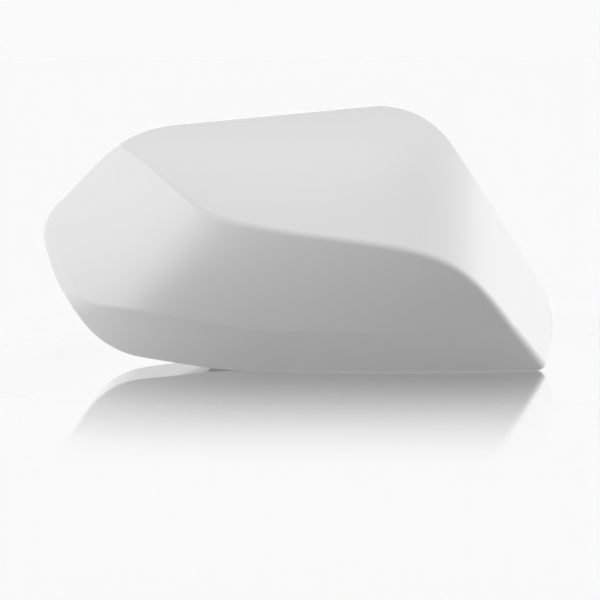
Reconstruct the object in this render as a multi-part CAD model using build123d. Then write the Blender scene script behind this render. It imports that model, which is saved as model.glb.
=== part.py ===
from build123d import *
import os
from math import radians, sin, tan

# Wing mirror cover: one moulded shell with its clips, locating pins and ribs.
# X runs along the cover, Y from the nose back to the open rim, Z up; millimetres.
# "Setback" is the distance behind the nose plane, which lies NOSE_DEPTH ahead of the rim.

# Shell
NOSE_DEPTH = 83.0
WALL = 2.5
EDGE_R = 3.0

# Outline seen from the front: corner x, corner z, radius that rounds the corner
OUTLINE = (
    (110.0, 0.0, 5.5),
    (121.0, 22.5, 25.5),
    (56.5, 120.5, 39.0),
    (-77.0, 108.5, 57.0),
    (-119.5, 66.5, 18.5),
    (-112.0, 41.5, 59.5),
    (-90.0, 7.5, 38.0),
    (-35.0, 0.0, 160.0),
)

# Brow sheet: faces up and forward, turns back at the slanted end, rolls over into the roof.
# Its plan curve (x, setback) is the one at height BROW_Z; its wall is true at BROW_SPOTS.
BROW_Z = 55.0
BROW_PLAN = ((-131.0, 0.0), (74.0, -14.0), (130.0, 123.0))
BROW_BEND = 4.8
BROW_LEAN = 0.78
BROW_DROP = 75.0
ROOF_RISE = 54.5
ROOF_RUN = 90.0
ROOF_SLOPE = 0.34
ROOF_BEND = 4.8
BROW_SPOTS = ((0.3, 0.3), (0.85, 0.3), (0.3, 0.85))

# Face sheet: swells forward, faces down more the lower it is, turns back at the rounded end.
# Its plan curve (x, setback) is set at height FACE_Z; its wall is true at FACE_SPOTS.
FACE_Z = 42.0
FACE_PLAN = ((-155.0, 75.5), (-64.5, 21.0), (80.5, -7.5), (165.0, 24.0))
FACE_BEND = 19.4
FACE_CURVE = 5.4
FACE_DRIFT = 0.82
FACE_TUCK = 0.41
FACE_CROWN = 11.25
FACE_SWELL = 2.0
FACE_SPAN = 90.0
FACE_SPOTS = ((0.25, 0.5), (0.75, 0.3), (0.75, 0.7))

# Sill: the band turned under along the base and up round the rounded end
SILL_ANGLE = 48.0
SILL_SETBACK = 33.5
SILL_BOW_R = 376.0
SILL_LOW_X = 39.0
SILL_LOW_Z = -2.0
SILL_END_X = -96.5
SILL_CORNER_R = 35.0
SILL_BACK = 50.0
SILL_RISE = 0.75 * SILL_CORNER_R

# Clips: x of each, on the top (+1) or the bottom (-1) of the skirt
CLIPS = ((-58.0, 1), (32.0, 1), (-38.0, -1), (84.0, -1))
CLIP_W = 12.0
CLIP_T = 2.0
CLIP_GAP = 7.0
CLIP_BELOW_RIM = 5.0
CLIP_FREE = 18.0
HOOK_H = 1.6
HOOK_L = 5.0

# Locating pins: x, z of each
PINS = ((-72.0, 60.0), (62.0, 66.0))
PIN_R = 3.0
PIN_L = 16.0
PIN_BELOW_RIM = 6.0
BOSS_R = 5.5
FIN_REACH = 12.0
FIN_BELOW_BOSS = 10.0

# Ribs: x of the upright ones; one level rib runs between the pins
RIBS = (-36.0, 0.0, 34.0)
RIB_T = 1.6
RIB_H = 5.0

# Reach of the construction shapes, depth that passes the nose, spare width round the outline,
# largest angle that counts as smooth, and the length taken as nothing
FAR = 300.0
PAST_NOSE = 1.5 * NOSE_DEPTH
MARGIN = 6.0
SMOOTH_DEG = 4.0
FINE = 0.02


def sheet(plan, plan_pull, height, side, side_pull):
    """A plan curve carried along a side curve without turning."""
    rows = [Vector(x, back - NOSE_DEPTH, height) for x, back in plan]
    poles = [[row + Vector(*step) for step in side] for row in rows]
    pulls = [[a * b for b in side_pull] for a in plan_pull]
    return Face.make_bezier_surface(poles, pulls)


def inward(face, spots):
    """The step that moves a sheet in by one unit of wall at three spots of it."""
    normals = [face.normal_at(u, v) for u, v in spots]
    a, b, c = [n if n.Y > 0 else n * -1 for n in normals]
    return (b.cross(c) + c.cross(a) + a.cross(b)) * (1 / a.dot(b.cross(c)))


roof_foot = BROW_LEAN * ROOF_RISE
brow = sheet(
    BROW_PLAN,
    (1, BROW_BEND, 1),
    BROW_Z,
    (
        (0, -BROW_LEAN * BROW_DROP, -BROW_DROP),
        (0, roof_foot, ROOF_RISE),
        (0, roof_foot + ROOF_RUN, ROOF_RISE + ROOF_SLOPE * ROOF_RUN),
    ),
    (1, ROOF_BEND, 1),
)
brow_in = inward(brow, BROW_SPOTS)

drift = FACE_DRIFT * FACE_SPAN
tuck = FACE_TUCK * FACE_SPAN
face = sheet(
    FACE_PLAN,
    (1, FACE_BEND, FACE_CURVE, 1),
    FACE_Z,
    (
        (drift, FACE_CROWN - tuck, FACE_SPAN),
        (0, -FACE_CROWN, 0),
        (-drift, FACE_CROWN + tuck, -FACE_SPAN),
    ),
    (1, FACE_SWELL, 1),
)
face_in = inward(face, FACE_SPOTS)


def below_sill():
    """Everything under and outside the sill, as far forward as the sill reaches."""
    spread = SILL_BACK * tan(radians(SILL_ANGLE))
    bow_r = SILL_BOW_R + spread
    bow_z = SILL_LOW_Z + SILL_BOW_R
    end_x = SILL_END_X - spread
    plane = Plane.XZ.offset(NOSE_DEPTH - SILL_SETBACK - SILL_BACK)
    field = Rectangle(2 * FAR, 2 * FAR, align=(Align.MIN, Align.CENTER))
    region = Pos(SILL_LOW_X, bow_z) * Circle(bow_r) & Pos(end_x, 0) * field
    corner = region.vertices().sort_by(Axis.X)[:2].sort_by(Axis.Y)[0]
    region = fillet(corner, SILL_CORNER_R + spread)
    depth = SILL_BACK + SILL_RISE / tan(radians(SILL_ANGLE))
    kept = extrude(plane * region, amount=depth, taper=SILL_ANGLE)
    front = Box(FAR, depth, FAR, align=(Align.CENTER, Align.MIN, Align.CENTER))
    front = front.moved(Location((0, plane.origin.Y - depth, 0)))
    return front - kept


waste = below_sill()


def outline(inset):
    """The cover's outline on the rim plane, moved in by inset."""
    points = [(x, z) for x, z, r in OUTLINE]
    radii = [r for x, z, r in OUTLINE]
    wire = FilletPolyline(*points, radius=radii, close=True)
    shape = make_face(wire)
    if inset > 0:
        shape = offset(shape, amount=-inset)
    return Plane.XZ * shape


def corners(body, ahead):
    """Edges where two faces meet at an angle; ahead leaves only those facing the nose."""
    owners = {}
    for f in body.faces():
        for e in f.edges():
            owners.setdefault(e, []).append(f)
    found = ShapeList()
    for e, pair in owners.items():
        middle = e.position_at(0.5)
        ways = [f.normal_at(middle) for f in pair]
        if len(pair) == 2 and ways[0].get_angle(ways[1]) > SMOOTH_DEG:
            facing = max(way.Y for way in ways)
            if facing < -FINE or (not ahead and middle.Y < -FINE):
                found.append(e)
    return found


def rounded(body, radius, ahead):
    return body.fillet(radius, corners(body, ahead)) if radius > 0 else body


def block(inset, radius):
    """The cover filled in solid, its outside moved in by inset, up to the rim plane."""
    behind = Vector(0, FAR, 0)
    frame = outline(0).bounding_box()
    field = Box(frame.size.X + 2 * MARGIN, FAR, frame.size.Z + 2 * MARGIN)
    body = field.moved(Location((frame.center().X, 0, frame.center().Z))).solid()
    body = body & Solid.extrude(face.moved(Location(face_in * inset)), behind)
    body = (body - waste.moved(Location((0, inset / sin(radians(SILL_ANGLE)), 0)))).solid()
    body = rounded(body, radius, True)
    body = (body & Solid.extrude(brow.moved(Location(brow_in * inset)), behind)).solid()
    body = rounded(body, radius, True)
    walls = extrude(outline(inset), amount=PAST_NOSE).solid()
    return rounded((walls & body).solid(), radius, False)


def upright(width, height, x, z, top):
    """A bar of this front-view size, from well ahead of the nose back to top below the rim."""
    bar = Box(width, PAST_NOSE - top, height, align=(Align.CENTER, Align.MAX, Align.CENTER))
    return bar.moved(Location((x, -top, z)))


def skirt_z(x, side):
    """Height of the outline above or below x."""
    line = Plane.XZ * Line((x, -FAR), (x, FAR))
    ends = (outline(0).face() & line).vertices().sort_by(Axis.Z)
    return ends[-1].Z if side > 0 else ends[0].Z


def clip(x, side):
    """A hook on a springy tab, its root braced to the skirt by two gussets."""
    z = skirt_z(x, side) - side * (WALL + CLIP_GAP + CLIP_T / 2)
    tab = upright(CLIP_W, CLIP_T, x, z, CLIP_BELOW_RIM)
    crest = z - side * (CLIP_T / 2 + HOOK_H)
    back = -CLIP_BELOW_RIM
    barb = Polyline(
        (back, z),
        (back, z - side * CLIP_T / 2),
        (back - HOOK_L, crest),
        (back - HOOK_L, z),
        close=True,
    )
    hook = extrude(Plane.YZ.offset(x - CLIP_W / 2) * make_face(barb), amount=CLIP_W)
    brace_x = (CLIP_W - RIB_T) / 2
    brace_z = z + side * (CLIP_GAP + WALL) / 2
    braces = [
        upright(RIB_T, CLIP_GAP + WALL + CLIP_T, x + way * brace_x, brace_z, CLIP_BELOW_RIM + CLIP_FREE)
        for way in (-1, 1)
    ]
    return Part() + [tab, hook] + braces


def pin(x, z):
    """A locating pin on a boss that four fins steady."""
    shoulder = PIN_BELOW_RIM + PIN_L
    plane = Plane.XZ.offset(PIN_BELOW_RIM) * Pos(x, z)
    stem = extrude(plane * Circle(PIN_R), amount=PIN_L + BOSS_R)
    boss = extrude(Plane.XZ.offset(shoulder) * Pos(x, z) * Circle(BOSS_R), amount=NOSE_DEPTH)
    fins = [
        upright(2 * FIN_REACH, RIB_T, x, z, shoulder + FIN_BELOW_BOSS),
        upright(RIB_T, 2 * FIN_REACH, x, z, shoulder + FIN_BELOW_BOSS),
    ]
    return Part() + [stem, boss] + fins


outer = block(0, EDGE_R)
hollow = block(WALL, 0)

fittings = [clip(x, side) for x, side in CLIPS] + [pin(x, z) for x, z in PINS]

ribs = [upright(RIB_T, FAR, x, 0, 0) for x in RIBS]
(left_x, left_z), (right_x, right_z) = PINS
ribs.append(upright(right_x - left_x, RIB_T, (left_x + right_x) / 2, (left_z + right_z) / 2, 0))
ribs = Part() + ribs - hollow.moved(Location((0, RIB_H, 0)))

hollow = hollow - (Part() + fittings + ribs)
cover = outer - hollow

# The origin lies on the floor under the middle of the cover.
nose_y = min(point.Y for point in cover.tessellate(FINE)[0])
cover = cover.moved(Location((0, -nose_y / 2, 0)))

os.makedirs("parts", exist_ok=True)
export_step(cover, "parts/mirror_cover.step")
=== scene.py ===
from math import cos, pi, radians, sin

import bpy
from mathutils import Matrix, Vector
from mathutils.bvhtree import BVHTree

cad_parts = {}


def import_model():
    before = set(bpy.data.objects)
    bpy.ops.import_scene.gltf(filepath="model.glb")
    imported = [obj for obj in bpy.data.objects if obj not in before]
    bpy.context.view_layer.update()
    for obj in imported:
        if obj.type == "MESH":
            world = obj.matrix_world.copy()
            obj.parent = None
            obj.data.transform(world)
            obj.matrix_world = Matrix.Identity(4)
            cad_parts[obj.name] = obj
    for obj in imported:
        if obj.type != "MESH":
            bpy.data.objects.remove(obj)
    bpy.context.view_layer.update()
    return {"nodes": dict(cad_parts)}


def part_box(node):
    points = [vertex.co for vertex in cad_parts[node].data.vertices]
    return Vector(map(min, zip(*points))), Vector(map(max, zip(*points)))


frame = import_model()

NODE = "mirror_cover"
cover = frame["nodes"][NODE]
RIM_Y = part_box(NODE)[1].y

# Lengths are in metres and angles in degrees, unless their name says otherwise.

# Camera: looks along the cover's depth from a little above
AIM = Vector((0, -0.0036, 0.0324))
CAMERA_ELEVATION = 7
CAMERA_DISTANCE = 0.9
IMAGE_PX = 600
FOCAL_PX = 2001
SENSOR_MM = 36

# Soft lights: azimuth from straight ahead towards +X, elevation, width of the light,
# and how bright it makes a white surface that faces it
LIGHTS = {
    "top_light": (0, 70, 40, 0.48),
    "left_light": (-82, 8, 40, 1.09),
    "right_light": (90, 12, 40, 0.87),
    "back_light": (180, 30, 90, 0.20),
}

# Studio: brightness of the backdrop, of the ceiling and of the panel overhead,
# with the elevations between which one gives way to the next
BACKDROP = 0.955
BACKDROP_TOP = 20
CEILING = 0.42
CEILING_FROM = 34
PANEL = 0.9
PANEL_FROM = 72

# Floor: its size and colour, how much paler it looks than it is lit, and the light it sends up
FLOOR_SIZE = 200
FLOOR_COLOUR = 0.65
FLOOR_LIFT = 0.355
FLOOR_BOUNCE = 0.35

# The floor is polished round the cover: its footprint, how far the polish reaches, its roughness,
# and between which glancing angles (0 straight down, 1 level) it turns from matt to mirror
FOOTPRINT_MID = (0.025, 0.017)
FOOTPRINT_HALF = (0.090, 0.025)
POLISH_REACH = 0.215
POLISH_ROUGH = 0.03
POLISH_GLANCE = (0.30, 0.78)

# Paint: white base coat, its faint unevenness, and the orange peel of the clear coat
PAINT = (0.86, 0.86, 0.86)
PAINT_SHADE = (0.845, 0.847, 0.848)
PAINT_PATCH_SCALE = 14
PAINT_ROUGH = (0.32, 0.40)
COAT_ROUGH = 0.04
PEEL_SCALE = 520
PEEL_HEIGHT = 0.000009

# Bare plastic inside: its moulded grain, and the overspray that thins out behind the rim
PLASTIC = (0.40, 0.405, 0.41)
PLASTIC_SHADE = (0.34, 0.345, 0.35)
PLASTIC_PATCH_SCALE = 30
PLASTIC_ROUGH = (0.44, 0.58)
GRAIN_SCALE = 2600
GRAIN_HEIGHT = 0.00003
OVERSPRAY_DEPTH = 0.014
OVERSPRAY_SPECK_SCALE = 900
OVERSPRAY_EDGE = (0.65, 1.25)

# The part of a noise's range that is spread over a roughness range,
# and the detail of the finer noises
NOISE_SPREAD = (0.3, 0.7)
FINE_DETAIL = 3

# A face is inside if its normal turns back by more than FACING_BACK and it lies TINY ahead
# of the rim, or if a ray that starts TINY off it meets the cover again
FACING_BACK = 0.05
TINY = 0.0002

# Triangles of less than this area, in square metres, are slivers, and a corner normal that leans
# further than this from its face is one that a sliver has tilted
SLIVER_AREA = 1e-11
LEAN_LIMIT = 25

WHITE = (1, 1, 1, 1)


def new_material(name):
    material = bpy.data.materials.new(name)
    material.use_nodes = True
    material.node_tree.nodes.clear()
    return material, material.node_tree


def node(tree, kind, **values):
    made = tree.nodes.new(kind)
    for key, value in values.items():
        setattr(made, key, value)
    return made


def join(tree, source, target):
    tree.links.new(source, target)


def calc(tree, operation, *terms):
    made = node(tree, "ShaderNodeMath", operation=operation)
    for socket, term in zip(made.inputs, terms):
        if isinstance(term, (int, float)):
            socket.default_value = term
        else:
            join(tree, term, socket)
    return made.outputs[0]


def ramp(tree, value, low, high, to_low=0, to_high=1):
    """A value carried from one range smoothly to another."""
    made = node(tree, "ShaderNodeMapRange", interpolation_type="SMOOTHSTEP")
    join(tree, value, made.inputs["Value"])
    made.inputs["From Min"].default_value = low
    made.inputs["From Max"].default_value = high
    made.inputs["To Min"].default_value = to_low
    made.inputs["To Max"].default_value = to_high
    return made.outputs["Result"]


def place(tree):
    return node(tree, "ShaderNodeTexCoord").outputs["Object"]


def noise(tree, where, scale, detail=2):
    made = node(tree, "ShaderNodeTexNoise")
    made.inputs["Scale"].default_value = scale
    made.inputs["Detail"].default_value = detail
    join(tree, where, made.inputs["Vector"])
    return made.outputs["Fac"]


def blend(tree, factor, first, second):
    made = node(tree, "ShaderNodeMix", data_type="RGBA")
    join(tree, factor, made.inputs["Factor"])
    for colour, socket in ((first, made.inputs["A"]), (second, made.inputs["B"])):
        if isinstance(colour, tuple):
            socket.default_value = (*colour, 1)
        else:
            join(tree, colour, socket)
    return made.outputs["Result"]


def bump(tree, height, depth):
    made = node(tree, "ShaderNodeBump")
    made.inputs["Distance"].default_value = depth
    join(tree, height, made.inputs["Height"])
    return made.outputs["Normal"]


def paint():
    """White base coat under a glossy clear coat with a little orange peel."""
    material, tree = new_material("white_paint")
    output = node(tree, "ShaderNodeOutputMaterial")
    shader = node(tree, "ShaderNodeBsdfPrincipled")
    where = place(tree)
    patches = noise(tree, where, PAINT_PATCH_SCALE)
    join(tree, blend(tree, patches, PAINT_SHADE, PAINT), shader.inputs["Base Color"])
    join(tree, ramp(tree, patches, *NOISE_SPREAD, *PAINT_ROUGH), shader.inputs["Roughness"])
    peel = bump(tree, noise(tree, where, PEEL_SCALE), PEEL_HEIGHT)
    join(tree, peel, shader.inputs["Normal"])
    join(tree, peel, shader.inputs["Coat Normal"])
    shader.inputs["Coat Weight"].default_value = 1
    shader.inputs["Coat Roughness"].default_value = COAT_ROUGH
    join(tree, shader.outputs["BSDF"], output.inputs["Surface"])
    return material


def plastic():
    """Satin moulded plastic, misted with paint just behind the rim."""
    material, tree = new_material("bare_plastic")
    output = node(tree, "ShaderNodeOutputMaterial")
    shader = node(tree, "ShaderNodeBsdfPrincipled")
    where = place(tree)
    axes = node(tree, "ShaderNodeSeparateXYZ")
    join(tree, where, axes.inputs[0])
    patches = noise(tree, where, PLASTIC_PATCH_SCALE, FINE_DETAIL)
    bare = blend(tree, patches, PLASTIC_SHADE, PLASTIC)
    near_rim = ramp(tree, axes.outputs["Y"], RIM_Y - OVERSPRAY_DEPTH, RIM_Y)
    speck = noise(tree, where, OVERSPRAY_SPECK_SCALE, FINE_DETAIL)
    mist = ramp(tree, calc(tree, "ADD", near_rim, speck), *OVERSPRAY_EDGE)
    join(tree, blend(tree, mist, bare, PAINT), shader.inputs["Base Color"])
    join(tree, ramp(tree, speck, *NOISE_SPREAD, *PLASTIC_ROUGH), shader.inputs["Roughness"])
    grain = bump(tree, noise(tree, where, GRAIN_SCALE), GRAIN_HEIGHT)
    join(tree, grain, shader.inputs["Normal"])
    join(tree, shader.outputs["BSDF"], output.inputs["Surface"])
    return material


def dress(piece):
    """Paint outside and on the rim, bare plastic on every face that looks into the hollow."""
    mesh = piece.data
    mesh.materials.clear()
    mesh.materials.append(paint())
    mesh.materials.append(plastic())
    points = [vertex.co for vertex in mesh.vertices]
    tree = BVHTree.FromPolygons(points, [face.vertices for face in mesh.polygons])
    for face in mesh.polygons:
        behind = face.normal.y > FACING_BACK and face.center.y < RIM_Y - TINY
        start = face.center + face.normal * TINY
        hidden = tree.ray_cast(start, face.normal)[0] is not None
        face.material_index = int(behind or hidden)


def less(tree, value, limit):
    made = node(tree, "FunctionNodeCompare", data_type="FLOAT", operation="LESS_THAN")
    join(tree, value, made.inputs["A"])
    made.inputs["B"].default_value = limit
    return made.outputs[0]


def mend_normals(piece):
    """Slivers are dropped, and a corner normal that they tilted becomes its face's own."""
    tree = bpy.data.node_groups.new("mend_normals", "GeometryNodeTree")
    for end in ("INPUT", "OUTPUT"):
        tree.interface.new_socket("Geometry", in_out=end, socket_type="NodeSocketGeometry")
    area = node(tree, "GeometryNodeInputMeshFaceArea").outputs[0]
    clean = node(tree, "GeometryNodeDeleteGeometry", domain="FACE", mode="ONLY_FACE")
    join(tree, node(tree, "NodeGroupInput").outputs[0], clean.inputs["Geometry"])
    join(tree, less(tree, area, SLIVER_AREA), clean.inputs["Selection"])
    normal = node(tree, "GeometryNodeInputNormal")
    own = node(tree, "GeometryNodeFieldOnDomain", data_type="FLOAT_VECTOR", domain="FACE")
    join(tree, normal.outputs["True Normal"], own.inputs[0])
    lean = node(tree, "ShaderNodeVectorMath", operation="DOT_PRODUCT")
    join(tree, normal.outputs["Normal"], lean.inputs[0])
    join(tree, own.outputs[0], lean.inputs[1])
    tilted = less(tree, lean.outputs["Value"], cos(radians(LEAN_LIMIT)))
    choice = node(tree, "GeometryNodeSwitch", input_type="VECTOR")
    join(tree, tilted, choice.inputs["Switch"])
    join(tree, normal.outputs["Normal"], choice.inputs["False"])
    join(tree, own.outputs[0], choice.inputs["True"])
    mended = node(tree, "GeometryNodeSetMeshNormal", mode="FREE", domain="CORNER")
    join(tree, clean.outputs[0], mended.inputs["Mesh"])
    join(tree, choice.outputs[0], mended.inputs["Custom Normal"])
    join(tree, mended.outputs[0], node(tree, "NodeGroupOutput").inputs[0])
    piece.modifiers.new("mend_normals", "NODES").node_group = tree


def seen_directly(tree):
    """1 for what the camera, a reflection or a clear material sees, 0 for light bounced about."""
    path = node(tree, "ShaderNodeLightPath")
    total = path.outputs["Is Camera Ray"]
    for word in ("Is Glossy Ray", "Is Transmission Ray"):
        total = calc(tree, "MAXIMUM", total, path.outputs[word])
    return total


def mixed(tree, factor, first, second):
    made = node(tree, "ShaderNodeMixShader")
    for socket, source in zip(made.inputs, (factor, first, second)):
        join(tree, source, socket)
    return made.outputs[0]


def glow(tree, level):
    made = node(tree, "ShaderNodeEmission")
    made.inputs["Color"].default_value = WHITE
    made.inputs["Strength"].default_value = level
    return made.outputs[0]


def polish(tree):
    """1 under the cover, 0 from POLISH_REACH off its footprint on; less for a steeper look."""
    axes = node(tree, "ShaderNodeSeparateXYZ")
    join(tree, place(tree), axes.inputs[0])
    squares = []
    for word, middle, half in zip("XY", FOOTPRINT_MID, FOOTPRINT_HALF):
        off = calc(tree, "ABSOLUTE", calc(tree, "SUBTRACT", axes.outputs[word], middle))
        out = calc(tree, "MAXIMUM", calc(tree, "SUBTRACT", off, half), 0)
        squares.append(calc(tree, "MULTIPLY", out, out))
    away = calc(tree, "SQRT", calc(tree, "ADD", *squares))
    near = ramp(tree, away, 0, POLISH_REACH, 1, 0)
    glance = node(tree, "ShaderNodeLayerWeight").outputs["Facing"]
    return calc(tree, "MULTIPLY", near, ramp(tree, glance, *POLISH_GLANCE))


def floor_material():
    """Pale floor that keeps the shadow, polished near the cover."""
    material, tree = new_material("studio_floor")
    output = node(tree, "ShaderNodeOutputMaterial")
    matt = node(tree, "ShaderNodeBsdfDiffuse")
    matt.inputs["Color"].default_value = (FLOOR_COLOUR, FLOOR_COLOUR, FLOOR_COLOUR, 1)
    pale = node(tree, "ShaderNodeAddShader")
    join(tree, matt.outputs[0], pale.inputs[0])
    join(tree, glow(tree, FLOOR_LIFT), pale.inputs[1])
    mirror = node(tree, "ShaderNodeBsdfGlossy")
    mirror.inputs["Color"].default_value = WHITE
    mirror.inputs["Roughness"].default_value = POLISH_ROUGH
    seen = mixed(tree, polish(tree), pale.outputs[0], mirror.outputs[0])
    both = mixed(tree, seen_directly(tree), glow(tree, FLOOR_BOUNCE), seen)
    join(tree, both, output.inputs["Surface"])
    return material


def world():
    """A pale backdrop, a greyer ceiling and a panel overhead, all seen but giving no light."""
    made = bpy.data.worlds.new("studio")
    bpy.context.scene.world = made
    made.use_nodes = True
    tree = made.node_tree
    tree.nodes.clear()
    output = node(tree, "ShaderNodeOutputWorld")
    dark = node(tree, "ShaderNodeBackground")
    dark.inputs["Strength"].default_value = 0
    studio = node(tree, "ShaderNodeBackground")
    studio.inputs["Color"].default_value = WHITE
    axes = node(tree, "ShaderNodeSeparateXYZ")
    join(tree, node(tree, "ShaderNodeTexCoord").outputs["Generated"], axes.inputs[0])
    up = axes.outputs["Z"]
    rise = (sin(radians(BACKDROP_TOP)), sin(radians(CEILING_FROM)))
    fall = ramp(tree, up, *rise, BACKDROP, CEILING)
    panel = ramp(tree, up, sin(radians(PANEL_FROM)), 1, 0, PANEL - CEILING)
    join(tree, calc(tree, "ADD", fall, panel), studio.inputs["Strength"])
    both = mixed(tree, seen_directly(tree), dark.outputs[0], studio.outputs[0])
    join(tree, both, output.inputs["Surface"])


def way(azimuth, elevation):
    """Direction from the object; azimuth 0 is straight ahead of the nose."""
    a, e = radians(azimuth), radians(elevation)
    return Vector((sin(a) * cos(e), -cos(a) * cos(e), sin(e)))


def soft_light(name, azimuth, elevation, width, level):
    lamp = bpy.data.lights.new(name, "SUN")
    lamp.angle = radians(width)
    lamp.energy = level * pi
    light = bpy.data.objects.new(name, lamp)
    light.rotation_euler = way(azimuth, elevation).to_track_quat("Z", "Y").to_euler()
    light.visible_glossy = False
    bpy.context.scene.collection.objects.link(light)


def camera():
    lens = bpy.data.cameras.new("camera")
    lens.sensor_width = SENSOR_MM
    lens.lens = FOCAL_PX / IMAGE_PX * SENSOR_MM
    eye = bpy.data.objects.new("camera", lens)
    back = way(0, CAMERA_ELEVATION)
    eye.location = AIM + back * CAMERA_DISTANCE
    eye.rotation_euler = back.to_track_quat("Z", "Y").to_euler()
    bpy.context.scene.collection.objects.link(eye)
    bpy.context.scene.camera = eye


dress(cover)
mend_normals(cover)

bpy.ops.mesh.primitive_plane_add(size=FLOOR_SIZE)
floor = bpy.context.object
floor.name = "floor"
floor.data.materials.append(floor_material())

world()
for name, values in LIGHTS.items():
    soft_light(name, *values)
camera()
bpy.context.scene.view_settings.view_transform = "Standard"
